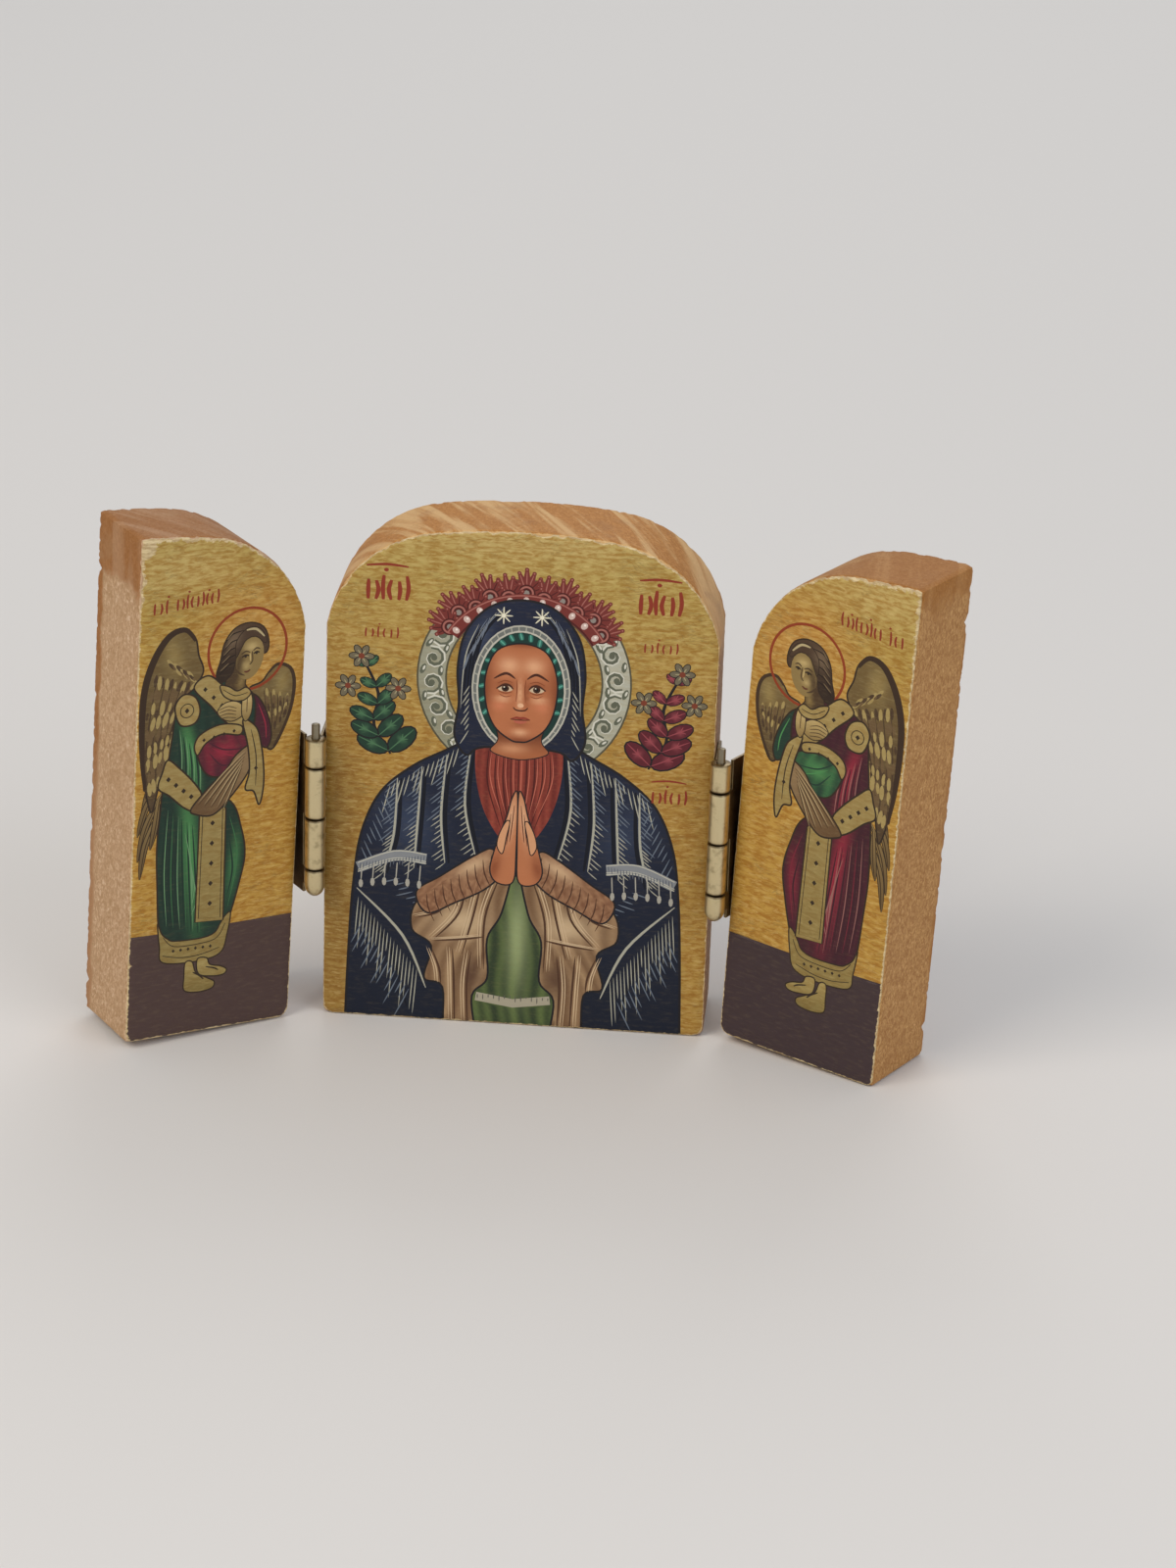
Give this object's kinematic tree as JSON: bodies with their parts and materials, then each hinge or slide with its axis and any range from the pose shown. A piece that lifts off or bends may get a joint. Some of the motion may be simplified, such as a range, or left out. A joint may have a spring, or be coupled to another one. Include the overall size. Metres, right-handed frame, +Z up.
{
  "type": "folding triptych",
  "caption": "Small standing wooden triptych: a round-headed middle block and half-round wings that fold over its face on brass hinges, with a printed devotional picture glued on each block.",
  "frame": {"origin": "centre of the middle block's underside", "axes": "+Z up, the pictures face -Y, +X to the viewer's right along the middle block's face"},
  "size_m": [0.0917, 0.0229, 0.0568],
  "materials": {
    "wood": "sanded, thinly varnished",
    "print": "varnished paper print, satin",
    "hinge": "brass-plated sheet, worn bright",
    "nail": "brass-plated, satin",
    "pin": "drawn wire, dull"
  },
  "bodies": {
    "center": {"center_panel": "wood", "center_print": "print", "left_hinge_center_leaf": "hinge", "left_hinge_center_nail_lower": "nail", "left_hinge_center_nail_upper": "nail", "left_hinge_pin": "pin", "right_hinge_center_leaf": "hinge", "right_hinge_center_nail_lower": "nail", "right_hinge_center_nail_upper": "nail", "right_hinge_pin": "pin"},
    "left_wing": {"left_wing": "wood", "left_print": "print", "left_hinge_wing_leaf": "hinge", "left_hinge_wing_nail_lower": "nail", "left_hinge_wing_nail_upper": "nail"},
    "right_wing": {"right_wing": "wood", "right_print": "print", "right_hinge_wing_leaf": "hinge", "right_hinge_wing_nail_lower": "nail", "right_hinge_wing_nail_upper": "nail"}
  },
  "joints": [
    {"name": "left_wing_hinge", "type": "hinge", "parent": "center", "child": "left_wing", "pos_m": [-0.0213, -0.0072, 0.0236], "axis": [0, 0, 1], "range_deg": [-35.2, 144.8]},
    {"name": "right_wing_hinge", "type": "hinge", "parent": "center", "child": "right_wing", "pos_m": [0.0213, -0.0072, 0.0236], "axis": [0, 0, -1], "range_deg": [-29.8, 150.2]}
  ]
}
